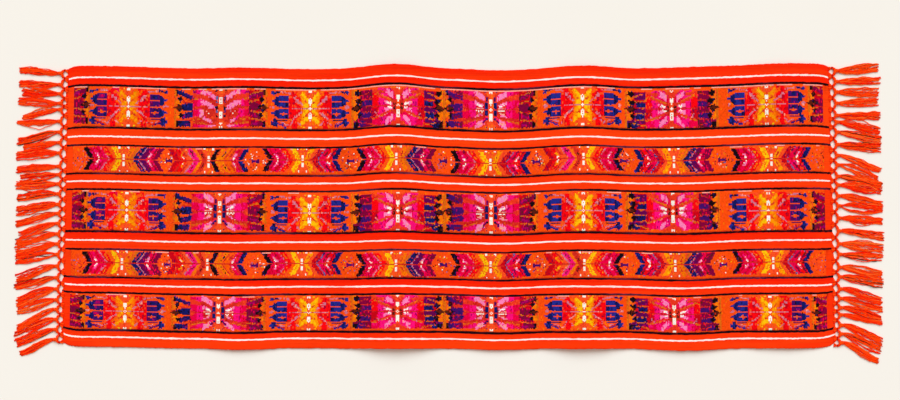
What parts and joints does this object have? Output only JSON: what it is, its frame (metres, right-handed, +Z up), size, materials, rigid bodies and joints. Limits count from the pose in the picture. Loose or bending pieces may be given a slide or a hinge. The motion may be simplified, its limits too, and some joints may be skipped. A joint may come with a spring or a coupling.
{
  "type": "rebozo",
  "caption": "Long handwoven shawl laid out flat, with brocade bands along it and a knotted tassel fringe on both ends.",
  "frame": {"origin": "middle of the whole outline, fringes included, on the surface it lies on", "axes": "+X along the cloth, +Y across it towards the upper selvedge, +Z up from the surface"},
  "size_m": [2.0904, 0.7198, 0.0178],
  "materials": {
    "woven_cloth": "matte",
    "fringe_yarn": "matte"
  },
  "bodies": {
    "root": {"cloth": "woven_cloth", "tassel_left_01": "fringe_yarn", "tassel_left_02": "fringe_yarn", "tassel_left_03": "fringe_yarn", "tassel_left_04": "fringe_yarn", "tassel_left_05": "fringe_yarn", "tassel_left_06": "fringe_yarn", "tassel_left_07": "fringe_yarn", "tassel_left_08": "fringe_yarn", "tassel_left_09": "fringe_yarn", "tassel_left_10": "fringe_yarn", "tassel_left_11": "fringe_yarn", "tassel_left_12": "fringe_yarn", "tassel_left_13": "fringe_yarn", "tassel_left_14": "fringe_yarn", "tassel_left_15": "fringe_yarn", "tassel_left_16": "fringe_yarn", "tassel_left_17": "fringe_yarn", "tassel_left_18": "fringe_yarn", "tassel_left_19": "fringe_yarn", "tassel_left_20": "fringe_yarn", "tassel_left_21": "fringe_yarn", "tassel_left_22": "fringe_yarn", "tassel_left_23": "fringe_yarn", "tassel_left_24": "fringe_yarn", "tassel_left_25": "fringe_yarn", "tassel_left_26": "fringe_yarn", "tassel_left_27": "fringe_yarn", "tassel_right_01": "fringe_yarn", "tassel_right_02": "fringe_yarn", "tassel_right_03": "fringe_yarn", "tassel_right_04": "fringe_yarn", "tassel_right_05": "fringe_yarn", "tassel_right_06": "fringe_yarn", "tassel_right_07": "fringe_yarn", "tassel_right_08": "fringe_yarn", "tassel_right_09": "fringe_yarn", "tassel_right_10": "fringe_yarn", "tassel_right_11": "fringe_yarn", "tassel_right_12": "fringe_yarn", "tassel_right_13": "fringe_yarn", "tassel_right_14": "fringe_yarn", "tassel_right_15": "fringe_yarn", "tassel_right_16": "fringe_yarn", "tassel_right_17": "fringe_yarn", "tassel_right_18": "fringe_yarn", "tassel_right_19": "fringe_yarn", "tassel_right_20": "fringe_yarn", "tassel_right_21": "fringe_yarn", "tassel_right_22": "fringe_yarn", "tassel_right_23": "fringe_yarn", "tassel_right_24": "fringe_yarn", "tassel_right_25": "fringe_yarn", "tassel_right_26": "fringe_yarn", "tassel_right_27": "fringe_yarn"}
  },
  "joints": []
}
